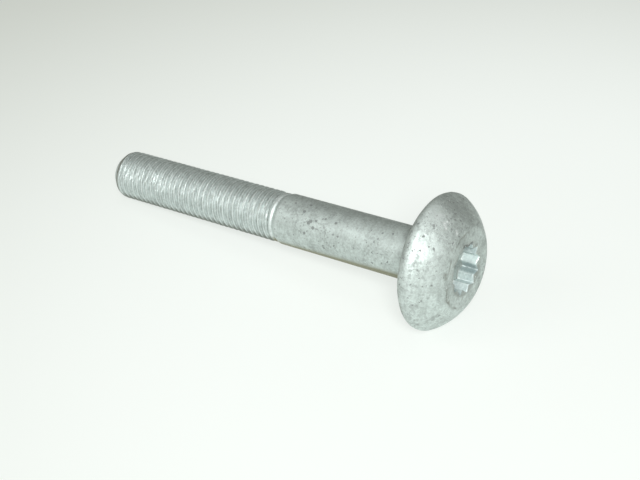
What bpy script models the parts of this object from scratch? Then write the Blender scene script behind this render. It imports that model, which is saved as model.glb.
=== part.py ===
"""Control arm bolt: mushroom head, twelve-point socket, plain shank, rolled thread.

The bolt is one piece of steel. It is built along its own axis, with the seat
under the head at x = 0, the head towards +X and the thread towards -X. It is
then laid down on the rim of its head and the first full turn of its thread.
"""
import math

import bmesh
import bpy
from mathutils import Matrix, Vector

MM = 0.001

# Lengths along the axis, from the seat under the head
BOLT_LENGTH = 89.0 * MM
SHANK_LENGTH = 38.0 * MM
NECK_LENGTH = 1.0 * MM

# Shank
SHANK_DIAMETER = 12.0 * MM
FILLET_RADIUS = 0.8 * MM
SHANK_END_ANGLE = math.radians(30)

# Thread: metric, 60 degrees, right-handed
THREAD_DIAMETER = 11.87 * MM
THREAD_PITCH = 1.5 * MM
POINT_DIAMETER = 8.4 * MM
POINT_ANGLE = math.radians(40)

# Head
HEAD_DIAMETER = 30.6 * MM
HEAD_HEIGHT = 8.5 * MM
RIM_RADIUS = 1.9 * MM
DOME_RADIUS = 14.3 * MM
FLAT_DIAMETER = 18.0 * MM

# Socket: three squares at 30 degrees to each other, so twelve right-angled points
SOCKET_DIAMETER = 11.6 * MM
SOCKET_DEPTH = 4.0 * MM
SOCKET_PHASE = math.radians(29)
SOCKET_FLOOR_ANGLE = math.radians(75)
COUNTERSINK_MARGIN = 0.15 * MM
COUNTERSINK_ANGLE = math.radians(75)
OVERCUT = 1.0 * MM

# The basic metric triangle gives the thread's depth and the widths of crest and root
FLANK_ANGLE = math.radians(30)
THREAD_DEPTH = 17 / 24 * THREAD_PITCH / (2 * math.tan(FLANK_ANGLE))
CREST_SHARE = 1 / 8
ROOT_SHARE = 1 / 6
FLANK_SHARE = (1 - CREST_SHARE - ROOT_SHARE) / 2

# A thread is rolled on a blank of about its pitch diameter, which shows as the neck
NECK_DIAMETER = THREAD_DIAMETER - 0.65 * THREAD_PITCH
RUNOUT_LENGTH = THREAD_PITCH

# Facets: both counts put a flat, not a corner, at the bottom
BODY_SEGMENTS = 48
THREAD_SEGMENTS = 24
RIM_STEPS = 6
DOME_STEPS = 7
FILLET_STEPS = 3
SOCKET_POINTS = 12
SMOOTH_ANGLE = math.radians(25)


def clear_scene():
    """Remove every object that the scene starts with."""
    for obj in list(bpy.data.objects):
        bpy.data.objects.remove(obj)


def around(x, radius, angle):
    """A point at an angle about the axis, counted from straight down."""
    return Vector((x, radius * math.sin(angle), -radius * math.cos(angle)))


def segment_angle(index, segments):
    """The angle of a corner, half a segment on, so that a flat lies at the bottom."""
    return 2 * math.pi * (index + 0.5) / segments


def arc(centre_x, centre_r, radius, start, end, steps):
    """Profile points (x, r) on an arc, its angles counted from +r towards +x."""
    points = []
    for step in range(steps + 1):
        angle = start + (end - start) * step / steps
        points.append((centre_x + radius * math.sin(angle), centre_r + radius * math.cos(angle)))
    return points


def dome_profile():
    """Rim arc and dome arc, tangent to each other, up to the edge of the flat top."""
    rim_x = RIM_RADIUS
    rim_r = HEAD_DIAMETER / 2 - RIM_RADIUS
    edge_x = HEAD_HEIGHT
    edge_r = FLAT_DIAMETER / 2
    # The dome's centre lies at known distances from the rim's centre and the flat's edge
    reach = DOME_RADIUS - RIM_RADIUS
    span = math.hypot(edge_x - rim_x, edge_r - rim_r)
    corner = math.acos((reach**2 + span**2 - DOME_RADIUS**2) / (2 * reach * span))
    heading = math.atan2(edge_x - rim_x, edge_r - rim_r) + corner
    dome_x = rim_x + reach * math.sin(heading)
    dome_r = rim_r + reach * math.cos(heading)
    joint = math.atan2(rim_x - dome_x, rim_r - dome_r)
    edge = math.atan2(edge_x - dome_x, edge_r - dome_r)
    rim = arc(rim_x, rim_r, RIM_RADIUS, -math.pi / 2, joint, RIM_STEPS)
    dome = arc(dome_x, dome_r, DOME_RADIUS, joint, edge, DOME_STEPS)
    return rim + dome[1:]


def turned_profile():
    """Profile points (x, r) of the neck, the shank and the head, from the thread up."""
    shank_r = SHANK_DIAMETER / 2
    neck_r = NECK_DIAMETER / 2
    fillet = arc(-FILLET_RADIUS, shank_r + FILLET_RADIUS, FILLET_RADIUS, math.pi, math.pi / 2, FILLET_STEPS)
    return [(neck_start() + NECK_LENGTH, neck_r), (-SHANK_LENGTH, shank_r)] + fillet + dome_profile()


def neck_start():
    """Where the neck meets the thread, below the cone that ends the shank."""
    cone = abs(SHANK_DIAMETER - NECK_DIAMETER) / 2 / math.tan(SHANK_END_ANGLE)
    return -(SHANK_LENGTH + cone + NECK_LENGTH)


def zip_chains(bm, first, second):
    """Fill the strip between two chains of (key, vertex) with quads and triangles.

    Both chains run the same way. The one with the smaller next key steps on,
    and equal keys step on together.
    """
    i = 0
    j = 0
    while i < len(first) - 1 or j < len(second) - 1:
        key_i = first[i + 1][0] if i < len(first) - 1 else math.inf
        key_j = second[j + 1][0] if j < len(second) - 1 else math.inf
        corners = [first[i][1]]
        last = j < len(second) - 1 and key_j <= key_i
        if i < len(first) - 1 and key_i <= key_j:
            i += 1
            corners.append(first[i][1])
        if last:
            corners.append(second[j + 1][1])
        corners.append(second[j][1])
        if last:
            j += 1
        bm.faces.new(corners)


def add_ring(bm, x, radius, segments):
    """A closed chain about the axis, keyed by its share of a full turn."""
    ring = []
    for index in range(segments):
        vertex = bm.verts.new(around(x, radius, segment_angle(index, segments)))
        ring.append(((index + 0.5) / segments, vertex))
    ring.append((ring[0][0] + 1, ring[0][1]))
    return ring


def thread_radius(nominal, depth_along, thread_length):
    """The radius at a place along the thread, after the run-out and the point's cone."""
    neck_r = NECK_DIAMETER / 2
    formed = min(depth_along / RUNOUT_LENGTH, 1)
    radius = neck_r + (nominal - neck_r) * formed
    cone = POINT_DIAMETER / 2 + (thread_length - depth_along) * math.tan(POINT_ANGLE)
    return min(radius, cone)


def thread_column(bm, column, start, end):
    """The thread's corners at one angle, from the neck to the point.

    Each corner is keyed by its number along the helix, four to a turn, so that
    the same key on the next column is the same edge of the thread.
    """
    crest_r = THREAD_DIAMETER / 2
    root_r = crest_r - THREAD_DEPTH
    corners = (
        (0, root_r),
        (ROOT_SHARE, root_r),
        (ROOT_SHARE + FLANK_SHARE, crest_r),
        (ROOT_SHARE + FLANK_SHARE + CREST_SHARE, crest_r),
    )
    thread_length = start - end
    margin = THREAD_PITCH / THREAD_SEGMENTS
    angle = segment_angle(column, THREAD_SEGMENTS)
    chain = []
    for turn in range(math.ceil(thread_length / THREAD_PITCH) + 2):
        for number, (share, nominal) in enumerate(corners):
            along = THREAD_PITCH * (turn + share - column / THREAD_SEGMENTS)
            if margin <= along <= thread_length - margin:
                radius = thread_radius(nominal, along, thread_length)
                vertex = bm.verts.new(around(start - along, radius, angle))
                chain.append((turn * len(corners) + number, vertex))
    return chain, len(corners)


def add_thread(bm, start, end):
    """The helical thread between two rings, and the flat end face. Returns the first ring."""
    first = add_ring(bm, start, NECK_DIAMETER / 2, THREAD_SEGMENTS)
    last = add_ring(bm, end, POINT_DIAMETER / 2, THREAD_SEGMENTS)
    columns = []
    for column in range(THREAD_SEGMENTS):
        chain, per_turn = thread_column(bm, column, start, end)
        columns.append([(-1, first[column][1])] + chain + [(math.inf, last[column][1])])
    # After a full turn the first column comes round again, one turn further along
    closing = [columns[0][0]] + [(key + per_turn, vertex) for key, vertex in columns[0][1:]]
    for chain, following in zip(columns, columns[1:] + [closing]):
        zip_chains(bm, chain, following)
    bm.faces.new([vertex for key, vertex in last[:-1]])
    return first


def build_blank():
    """The bolt without its socket, as one closed mesh."""
    bm = bmesh.new()
    previous = add_thread(bm, neck_start(), -BOLT_LENGTH)
    for x, radius in turned_profile():
        ring = add_ring(bm, x, radius, BODY_SEGMENTS)
        zip_chains(bm, previous, ring)
        previous = ring
    bm.faces.new([vertex for key, vertex in previous[:-1]])
    return bm


def build_socket_cutter():
    """A twelve-point punch with a shallow conical end."""
    point_r = SOCKET_DIAMETER / 2
    corner_r = point_r * math.cos(math.radians(45)) / math.cos(math.radians(30))
    top = HEAD_HEIGHT + OVERCUT
    bottom = HEAD_HEIGHT - SOCKET_DEPTH
    bm = bmesh.new()
    outline = []
    for index in range(2 * SOCKET_POINTS):
        radius = corner_r if index % 2 else point_r
        angle = SOCKET_PHASE + math.pi * index / SOCKET_POINTS
        outline.append(bm.verts.new(around(top, radius, angle)))
    lid = bm.faces.new(outline)
    walls = bmesh.ops.extrude_face_region(bm, geom=[lid])
    lowered = [item for item in walls["geom"] if isinstance(item, bmesh.types.BMVert)]
    floor = [item for item in walls["geom"] if isinstance(item, bmesh.types.BMFace)]
    bmesh.ops.translate(bm, verts=lowered, vec=Vector((bottom - top, 0, 0)))
    tip = bmesh.ops.poke(bm, faces=floor)["verts"][0]
    tip.co.x = bottom - point_r / math.tan(SOCKET_FLOOR_ANGLE)
    return bm


def build_countersink_cutter():
    """A cone that breaks the edge of the socket."""
    top_r = SOCKET_DIAMETER / 2 + COUNTERSINK_MARGIN + OVERCUT * math.tan(COUNTERSINK_ANGLE)
    height = top_r / math.tan(COUNTERSINK_ANGLE)
    bm = bmesh.new()
    bmesh.ops.create_cone(
        bm,
        cap_ends=True,
        segments=BODY_SEGMENTS,
        radius1=0,
        radius2=top_r,
        depth=height,
        matrix=Matrix.Translation((HEAD_HEIGHT + OVERCUT - height / 2, 0, 0)) @ Matrix.Rotation(math.pi / 2, 4, "Y"),
    )
    return bm


def add_object(name, bm):
    """Turn a bmesh into an object whose faces point out."""
    bmesh.ops.recalc_face_normals(bm, faces=bm.faces)
    mesh = bpy.data.meshes.new(name)
    bm.to_mesh(mesh)
    bm.free()
    obj = bpy.data.objects.new(name, mesh)
    bpy.context.collection.objects.link(obj)
    return obj


def cut(body, cutter):
    """Cut one object out of another, and hide the cutter."""
    cutter.parent = body
    cutter.hide_render = True
    cutter.display_type = "WIRE"
    modifier = body.modifiers.new(cutter.name, "BOOLEAN")
    modifier.operation = "DIFFERENCE"
    modifier.solver = "EXACT"
    modifier.object = cutter


def zinc_flake():
    """Silver-grey zinc-flake coating."""
    material = bpy.data.materials.new("zinc_flake")
    material.use_nodes = True
    shader = material.node_tree.nodes["Principled BSDF"]
    shader.inputs["Base Color"].default_value = (0.5, 0.53, 0.51, 1)
    shader.inputs["Metallic"].default_value = 0.85
    shader.inputs["Roughness"].default_value = 0.45
    return material


def lower_outline(points):
    """The lower side of the convex outline around (x, z) points, from low x to high x."""
    outline = []
    for point in sorted(points):
        while len(outline) > 1:
            (x0, z0), (x1, z1) = outline[-2:]
            if (x1 - x0) * (point[1] - z0) > (z1 - z0) * (point[0] - x0):
                break
            outline.pop()
        outline.append(point)
    return outline


def lay_down(obj):
    """Tip the bolt onto the two places it rests on, with its box centred over the origin."""
    outline = lower_outline([(vertex.co.x, vertex.co.z) for vertex in obj.data.vertices])
    low, high = max(zip(outline, outline[1:]), key=lambda edge: math.dist(*edge))
    tilt = Matrix.Rotation(math.atan2(high[1] - low[1], high[0] - low[0]), 4, "Y")
    turned = [tilt @ vertex.co for vertex in obj.data.vertices]
    middle = (max(point.x for point in turned) + min(point.x for point in turned)) / 2
    obj.rotation_euler = tilt.to_euler()
    obj.location = (-middle, 0, -min(point.z for point in turned))


def main():
    """Build the bolt, cut its socket and lay it down."""
    clear_scene()
    bolt = add_object("control_arm_bolt", build_blank())
    bolt.data.shade_smooth()
    bolt.data.set_sharp_from_angle(angle=SMOOTH_ANGLE)
    bolt.data.materials.append(zinc_flake())
    cut(bolt, add_object("socket_cutter", build_socket_cutter()))
    cut(bolt, add_object("countersink_cutter", build_countersink_cutter()))
    lay_down(bolt)


main()
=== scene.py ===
"""Looks of the control arm bolt: one coated steel bolt lying on a pale floor.

The bolt is one piece of steel, so it is one closed skin here too. The thread,
the shank, the head and the drive socket each build their own stretch of that
skin, and each takes over the ring of corners that the last one ended on.

Lengths are in millimetres along the bolt's own axis, with the seat under the
head at zero, the head towards +X and the thread towards -X. Angles about the
axis are counted from straight down. The finished skin lies where the CAD model
lies, and its round surfaces keep inside that model's facets.
"""
import logging
import math
from dataclasses import dataclass
from enum import Enum
from functools import partial
from typing import Any, Sequence

import bmesh
import bpy
from mathutils import Matrix, Vector, noise


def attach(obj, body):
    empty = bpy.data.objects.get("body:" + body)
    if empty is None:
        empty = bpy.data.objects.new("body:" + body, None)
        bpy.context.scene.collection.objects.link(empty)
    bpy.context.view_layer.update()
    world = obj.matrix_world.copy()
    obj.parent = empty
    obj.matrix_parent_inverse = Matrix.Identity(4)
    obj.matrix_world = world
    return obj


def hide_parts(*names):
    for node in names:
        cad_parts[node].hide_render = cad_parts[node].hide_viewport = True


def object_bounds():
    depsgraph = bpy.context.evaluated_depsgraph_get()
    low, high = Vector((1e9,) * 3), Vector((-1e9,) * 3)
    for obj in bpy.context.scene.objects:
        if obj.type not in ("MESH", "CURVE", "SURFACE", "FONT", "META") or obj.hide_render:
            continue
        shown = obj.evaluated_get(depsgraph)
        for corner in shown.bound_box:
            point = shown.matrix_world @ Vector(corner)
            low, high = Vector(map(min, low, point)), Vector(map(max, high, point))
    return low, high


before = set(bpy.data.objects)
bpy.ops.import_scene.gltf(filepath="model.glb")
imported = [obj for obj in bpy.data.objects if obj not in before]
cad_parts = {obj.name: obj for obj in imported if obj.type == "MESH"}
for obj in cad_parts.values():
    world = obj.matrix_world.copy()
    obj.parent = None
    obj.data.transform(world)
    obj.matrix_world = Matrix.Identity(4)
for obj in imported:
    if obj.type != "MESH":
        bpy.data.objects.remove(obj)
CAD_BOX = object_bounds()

MM = 0.001
FAR_KEY = 1e6
SAME_KEY = 1e-9
MIX_COLOURS = (6, 7)
MIX_RESULT = 2
LOG = logging.getLogger("control_arm_bolt")

Colour = tuple[float, float, float]
Place = tuple[float, float, float]
Triple = tuple[float, float, float]
Section = tuple[float, float, float, float]
Chain = list[tuple[float, bmesh.types.BMVert]]
Source = bpy.types.NodeSocket


class Zone(Enum):
    """Stretches of the skin that each carry the coating in their own way."""

    THREAD = 0
    SHANK = 1
    HEAD = 2
    SOCKET = 3


class Layer(Enum):
    """Values painted on the skin's corners, by the name that the materials read."""

    # polish from handling, and painted highlights
    WEAR_AND_HIGHLIGHT = "edge_wear"
    # hollow holds painted shade in recesses, roots and creases
    HOLLOW = "hollow"
    # underside holds painted shade along the bottom of the bolt
    UNDERSIDE_SHADE = "underside"
    STAIN = "stain"
    # painted light and shade
    PAINTED_LIGHT_AND_SHADE = "shade"
    # pits, and painted shadow at the socket's mouth
    PITS_AND_SHADOW = "pitted"


def clamp(value: float) -> float:
    """Keep a value between 0 and 1."""
    return min(max(value, 0.0), 1.0)


def bell(distance: float, width: float) -> float:
    """Height of a soft bump of height 1, at a distance from its middle."""
    return math.exp(-((distance / width) ** 2))


def round_corner(
    before: Vector, corner: Vector, after: Vector, radius: float, steps: int
) -> list[Vector]:
    """Replace a corner between two straight edges by a small arc.

    Args:
        before: The point before the corner.
        corner: The corner itself.
        after: The point after the corner.
        radius: Radius of the arc.
        steps: Number of straight pieces that the arc is made of.

    Returns:
        The points of the arc, from the first edge to the second.
    """
    back = (before - corner).normalized()
    on = (after - corner).normalized()
    half = back.angle(on) / 2
    sweep = math.pi - 2 * half
    centre = corner + (back + on).normalized() * (radius / math.sin(half))
    start = corner + back * (radius / math.tan(half)) - centre
    end = corner + on * (radius / math.tan(half)) - centre
    points = []
    for step in range(steps + 1):
        turn = step / steps * sweep
        mixed = (start * math.sin(sweep - turn) + end * math.sin(turn)) / math.sin(sweep)
        points.append(centre + mixed)
    return points


@dataclass(frozen=True)
class Mark:
    """One soft-edged mark on the skin, such as a cluster of specks, or a lighter patch of painted
    light.

    Its spread is longer along the axis by its stretch, and it ends at reach times both.
    """

    x: float
    angle: float
    strength: float
    spread: float = 1.0
    radius: float = 6.0
    layer: Layer = Layer.STAIN
    stretch: float = 1.0
    reach: float = 2.2

    def spot(self) -> Vector:
        """The middle of the mark in the bolt's own axes."""
        turn = math.radians(self.angle)
        return Vector((self.x, self.radius * math.sin(turn), -self.radius * math.cos(turn)))


@dataclass(frozen=True)
class UndersideShade:
    """Painted shade: a dark band along the bottom of the bolt, which widens towards the head.

    It fades in from the edge angle to the full angle, both counted from straight down and
    given far out on the thread and at the head. It keeps off the core and off the seat.
    """

    edge: tuple[float, float] = (math.radians(73), math.radians(83))
    full: tuple[float, float] = (math.radians(52), math.radians(67))
    growth: float = 38.0
    core: float = 4.2
    rise: float = 0.6
    seat_gap: float = 1.5

    def amount(self, x: float, radius: float, angle: float) -> float:
        """How much of the band's painted shade a place gets.

        Args:
            x: Place along the axis.
            radius: Distance from the axis.
            angle: Angle about the axis.

        Returns:
            The share, from 0 to 1.
        """
        grown = clamp(1 + x / self.growth)
        edge = math.cos(self.edge[0] + (self.edge[1] - self.edge[0]) * grown)
        full = math.cos(self.full[0] + (self.full[1] - self.full[0]) * grown)
        low = clamp((math.cos(angle) - edge) / (full - edge)) ** 2
        return low * clamp((radius - self.core) / self.rise) * clamp(-x / self.seat_gap)


class Skin:
    """The bolt's one closed surface while its stretches are added to it."""

    def __init__(self, phase: float) -> None:
        """Start with no surface.

        Args:
            phase: Angle of the first column of corners.
        """
        self.phase = phase
        self.underside = UndersideShade()
        self.bm = bmesh.new()
        self.layers = {layer: self.bm.verts.layers.float.new(layer.value) for layer in Layer}

    def corner(
        self, x: float, radius: float, share: float, wear: float = 0.0, hollow: float = 0.0
    ) -> bmesh.types.BMVert:
        """Add one corner of the surface.

        Args:
            x: Place along the axis.
            radius: Distance from the axis.
            share: Place about the axis, as a share of a full turn from the first column.
            wear: Polish from handling, and a painted highlight at the thread's point, from 0 to 1.
            hollow: How much painted shade the place gets, from 0 to 1.

        Returns:
            The new corner.
        """
        angle = self.phase + 2 * math.pi * share
        vertex = self.bm.verts.new((x, radius * math.sin(angle), -radius * math.cos(angle)))
        vertex[self.layers[Layer.WEAR_AND_HIGHLIGHT]] = wear
        # painted shade in hollows
        vertex[self.layers[Layer.HOLLOW]] = hollow
        # painted shade along the bottom of the bolt
        vertex[self.layers[Layer.UNDERSIDE_SHADE]] = self.underside.amount(x, radius, angle)
        return vertex

    def ring(
        self, x: float, radius: float, columns: int, wear: float = 0.0, hollow: float = 0.0
    ) -> Chain:
        """Add a closed ring of corners about the axis.

        Args:
            x: Place along the axis.
            radius: Radius of the ring.
            columns: Number of corners.
            wear: How far handling has polished the ring.
            hollow: How much painted shade the ring gets.

        Returns:
            The corners, keyed by their share of a full turn, with the first again at the end.
        """
        shares = [column / columns for column in range(columns)]
        chain = [(share, self.corner(x, radius, share, wear, hollow)) for share in shares]
        return chain + [(1.0, chain[0][1])]

    def strip(self, first: Chain, second: Chain, zone: Zone) -> None:
        """Fill the strip between two chains that run the same way.

        The chain with the smaller next key steps on, and equal keys step on together.

        Args:
            first: Chain along one side of the strip.
            second: Chain along the other side.
            zone: Zone that the strip belongs to.
        """
        i = 0
        j = 0
        while i < len(first) - 1 or j < len(second) - 1:
            key_i = first[i + 1][0] if i < len(first) - 1 else math.inf
            key_j = second[j + 1][0] if j < len(second) - 1 else math.inf
            both = abs(key_i - key_j) < SAME_KEY
            corners = [first[i][1]]
            if i < len(first) - 1 and (key_i < key_j or both):
                i += 1
                corners.append(first[i][1])
            if j < len(second) - 1 and (key_j < key_i or both):
                corners.extend((second[j + 1][1], second[j][1]))
                j += 1
            else:
                corners.append(second[j][1])
            self.bm.faces.new(corners).material_index = zone.value

    def carry(self, ring: Chain, outline: Sequence[Section], columns: int, zone: Zone) -> Chain:
        """Carry the surface on from a ring, along an outline.

        Args:
            ring: The ring to start from.
            outline: One (x, radius, wear, hollow) for each new ring.
            columns: Number of corners in a new ring.
            zone: Zone that the new strips belong to.

        Returns:
            The last ring.
        """
        for x, radius, wear, hollow in outline:
            following = self.ring(x, radius, columns, wear, hollow)
            self.strip(ring, following, zone)
            ring = following
        return ring

    def close(self, ring: Chain, x: float, zone: Zone, hollow: float = 0.0) -> None:
        """Close a ring with a fan to one corner on the axis.

        Args:
            ring: The ring to close.
            x: Place of the middle corner along the axis.
            zone: Zone that the fan belongs to.
            hollow: How much painted shade the middle gets.
        """
        middle = self.corner(x, 0.0, 0.0, 0.0, hollow)
        for (_, here), (_, there) in zip(ring, ring[1:]):
            self.bm.faces.new((here, there, middle)).material_index = zone.value

    def paint(self, marks: Sequence[Mark]) -> None:
        """Add each mark to its layer, fading out with distance from its middle.

        Args:
            marks: The marks to add.
        """
        spots = [(mark, mark.spot(), self.layers[mark.layer]) for mark in marks]
        for vertex in self.bm.verts:
            for mark, spot, layer in spots:
                along = (vertex.co.x - spot.x) / mark.stretch
                if abs(along) < mark.reach * mark.spread:
                    across = (vertex.co.y - spot.y) ** 2 + (vertex.co.z - spot.z) ** 2
                    fade = math.exp(-(across + along**2) / mark.spread**2)
                    vertex[layer] += mark.strength * fade


@dataclass
class RolledThread:
    """Right-hand metric thread, from the flat end face up to the neck.

    A flank corner is (share of the flank, wear, hollow), where hollow is painted shade. Near the
    point the thread is filled up to its crests but for one shallow groove, whose painted shade is
    (base, more in its middle, width), and past it comes a bright edge of (distance, wear, width),
    which is partly wear and partly a painted highlight. The end face is given as (x, radius, wear),
    counted from the cone's end.
    """

    pitch: float = 1.5
    crest_diameter: float = 11.77
    root_diameter: float = 10.03
    crest_share: float = 1 / 8
    root_share: float = 1 / 6
    crest_rounding: float = 0.08
    root_rounding: float = 0.19
    crest_wear: float = 0.7
    root_hollow: float = 0.55
    # the hollow on the second flank corner is painted shade
    flank_corners: tuple[Triple, ...] = ((0.42, 0.6, 0.0), (0.74, 0.0, 0.5))
    start: float = -39.957
    end: float = -89.0
    run_out: float = 0.6
    lip_radius: float = 5.62
    lip_wear: float = 0.3
    neck_gap: float = 0.04
    end_gap: float = 0.2
    point_diameter: float = 8.4
    point_angle: float = math.radians(40)
    point_reach: float = 3.4
    point_edge: tuple[float, float] = (0.1, 0.08)
    end_face: tuple[Triple, ...] = (
        (0.02, -0.02, 0.6), (0.0, -0.12, 0.3), (0.0, -1.0, 0.0), (0.0, -2.6, 0.0)
    )
    filled_from: float = 3.0
    filled_over: float = 0.6
    filled_depth: float = 0.08
    groove_place: float = 1.93
    groove_depth: float = 0.25
    groove_width: float = 0.17
    groove_shade: Triple = (0.2, 2.2, 0.27)
    tip_reach: float = 0.35
    tip_wear_and_highlight: Triple = (0.55, 1.2, 0.18)
    columns: int = 96
    cad_half_column: float = 0.5 / 24

    def outline(self) -> list[Section]:
        """One pitch of the thread, with the soft corners that rolling leaves.

        Returns:
            Corners as (share of the pitch, radius, wear, hollow), from one root to the next.
        """
        crest = self.crest_diameter / 2
        root = self.root_diameter / 2
        flank = (1 - self.crest_share - self.root_share) / 2
        rising = self.root_share + flank
        shares = (0.0, self.root_share, rising, rising + self.crest_share)
        radii = (root, root, crest, crest)
        bends = [Vector((self.pitch * share, radius)) for share, radius in zip(shares, radii)]
        step = Vector((self.pitch, 0.0))
        looped = [bends[-1] - step] + bends + [bends[0] + step]
        corners = []
        for index, bend in enumerate(bends):
            low = index < 2
            rounding = self.root_rounding if low else self.crest_rounding
            # painted shade in the roots, wear on the crests
            finish = (0.0, self.root_hollow) if low else (self.crest_wear, 0.0)
            for point in round_corner(looped[index], bend, looped[index + 2], rounding, steps=2):
                corners.append((point.x / self.pitch, point.y, *finish))
            if index == 1:
                for share, wear, hollow in self.flank_corners:
                    place = bend.lerp(looped[index + 2], share)
                    corners.append((place.x / self.pitch, place.y, wear, hollow))
        return corners

    def radius_at(self, nominal: float, along: float) -> float:
        """The radius at a place along the thread, with its run-out and its point.

        Args:
            nominal: Radius of the full thread there.
            along: Distance from the neck.

        Returns:
            The radius of the real surface.
        """
        formed = min(along / (self.run_out * self.pitch), 1.0)
        left = self.start - self.end - along
        cone = self.point_diameter / 2 + left * math.tan(self.point_angle)
        filled = clamp((self.filled_from - left) / self.filled_over)
        nominal += (self.crest_diameter / 2 - self.filled_depth - nominal) * filled
        groove = self.groove_depth * bell(left - self.groove_place, self.groove_width)
        return min(self.lip_radius + (nominal - self.lip_radius) * formed, cone) - groove

    def finish_at(self, left: float, wear: float, hollow: float) -> tuple[float, float]:
        """Wear and hollow at a place, with the point's bright edge, partly a painted highlight,
        and the painted shade in its groove.

        Args:
            left: Distance from the end face.
            wear: Wear of the full thread there.
            hollow: Hollow of the full thread there.

        Returns:
            The wear and the hollow.
        """
        if left >= self.groove_place + self.tip_reach:
            return wear, hollow
        edge, bright, edge_width = self.tip_wear_and_highlight
        base, dark, dark_width = self.groove_shade
        # a bright edge, partly wear and partly painted highlight, and painted shade in the groove
        wear = bright * bell(left - self.groove_place + edge, edge_width)
        return wear, base + dark * bell(left - self.groove_place, dark_width)

    def column(self, skin: Skin, number: int) -> Chain:
        """The thread's corners in one column, from the neck to the point.

        Args:
            skin: Skin that the corners belong to.
            number: Number of the column about the axis.

        Returns:
            The corners, keyed by their number along the helix.
        """
        outline = self.outline()
        length = self.start - self.end
        share = number / self.columns
        turned = skin.phase / (2 * math.pi) + share - self.cad_half_column
        places = []
        for turn in range(-1, math.ceil(length / self.pitch) + 3):
            for index, (place, *finish) in enumerate(outline):
                key = turn * len(outline) + index
                places.append((key, self.pitch * (turn + place - turned), *finish))
        for here, there in list(zip(places, places[1:])):
            if length - here[1] < self.point_reach:
                places.append(tuple((a + b) / 2 for a, b in zip(here, there)))
        chain = []
        for key, along, nominal, wear, hollow in sorted(places):
            if self.neck_gap <= along <= length - self.end_gap:
                radius = self.radius_at(nominal, along)
                finish = self.finish_at(length - along, wear, hollow)
                chain.append((key, skin.corner(self.start - along, radius, share, *finish)))
        return chain

    def build(self, skin: Skin) -> Chain:
        """Add the end face, the point and the whole helix.

        Args:
            skin: Skin to add to.

        Returns:
            The ring where the lip beside the neck begins.
        """
        first = skin.ring(self.start, self.lip_radius, self.columns, self.lip_wear)
        point = self.point_diameter / 2
        edge_x, edge_radius = self.point_edge
        last = skin.ring(self.end + edge_x, point + edge_radius, self.columns, self.lip_wear)
        columns = []
        for number in range(self.columns):
            chain = self.column(skin, number)
            columns.append([(-FAR_KEY, first[number][1]), *chain, (FAR_KEY, last[number][1])])
        per_turn = len(self.outline())
        closing = [columns[0][0]] + [(key + per_turn, vertex) for key, vertex in columns[0][1:]]
        for here, there in zip(columns, columns[1:] + [closing]):
            skin.strip(here, there, Zone.THREAD)
        face = [(self.end + x, point + step, wear, 0.0) for x, step, wear in self.end_face]
        skin.close(skin.carry(last, face, self.columns, Zone.THREAD), self.end, Zone.THREAD)
        return first


@dataclass
class Shank:
    """Neck, plain shank and the fillet under the head.

    The lip that the thread's rolling raised is given as (distance, radius).
    """

    diameter: float = 12.0
    length: float = 38.0
    neck_diameter: float = 10.895
    neck_end: float = -38.957
    neck_length: float = 1.0
    neck_rounding: float = 0.7
    shoulder_rounding: float = 0.9
    shoulder_wear: float = 0.4
    shoulder_gap: float = 0.6
    fillet_radius: float = 0.8
    fillet_steps: int = 6
    lip: tuple[tuple[float, float], ...] = (
        (0.16, 5.72), (0.30, 5.77), (0.46, 5.75), (0.62, 5.62), (0.78, 5.47)
    )
    ring_spacing: float = 0.4
    columns: int = 168

    def outline(self) -> list[Section]:
        """The outline of the shank in section.

        Returns:
            Corners as (x, radius, wear, hollow), from the thread's lip to the seat.
        """
        radius = self.diameter / 2
        neck = Vector((self.neck_end, self.neck_diameter / 2))
        shoulder = Vector((-self.length, radius))
        level = Vector((1.0, 0.0))
        lip_start = self.neck_end - self.neck_length
        corners = [(lip_start + step, height, 1.0, 0.0) for step, height in self.lip]
        for point in round_corner(neck - level, neck, shoulder, self.neck_rounding, steps=3):
            corners.append((point.x, point.y, 0.0, 0.0))
        after = shoulder + level
        for point in round_corner(neck, shoulder, after, self.shoulder_rounding, steps=4):
            corners.append((point.x, point.y, self.shoulder_wear, 0.0))
        straight = self.length - self.fillet_radius - self.shoulder_gap
        steps = round(straight / self.ring_spacing)
        for step in range(1, steps):
            x = -self.length + self.shoulder_gap + straight * step / steps
            corners.append((x, radius, 0.0, 0.0))
        for step in range(self.fillet_steps + 1):
            angle = math.pi / 2 * step / self.fillet_steps
            x = -self.fillet_radius * (1 - math.sin(angle))
            corners.append((x, radius + self.fillet_radius * (1 - math.cos(angle)), 0.0, 0.0))
        return corners

    def build(self, skin: Skin, ring: Chain) -> Chain:
        """Add the neck, the shank and the fillet.

        Args:
            skin: Skin to add to.
            ring: The ring that the thread ended on.

        Returns:
            The ring where the fillet meets the seat.
        """
        return skin.carry(ring, self.outline(), self.columns, Zone.SHANK)


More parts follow.
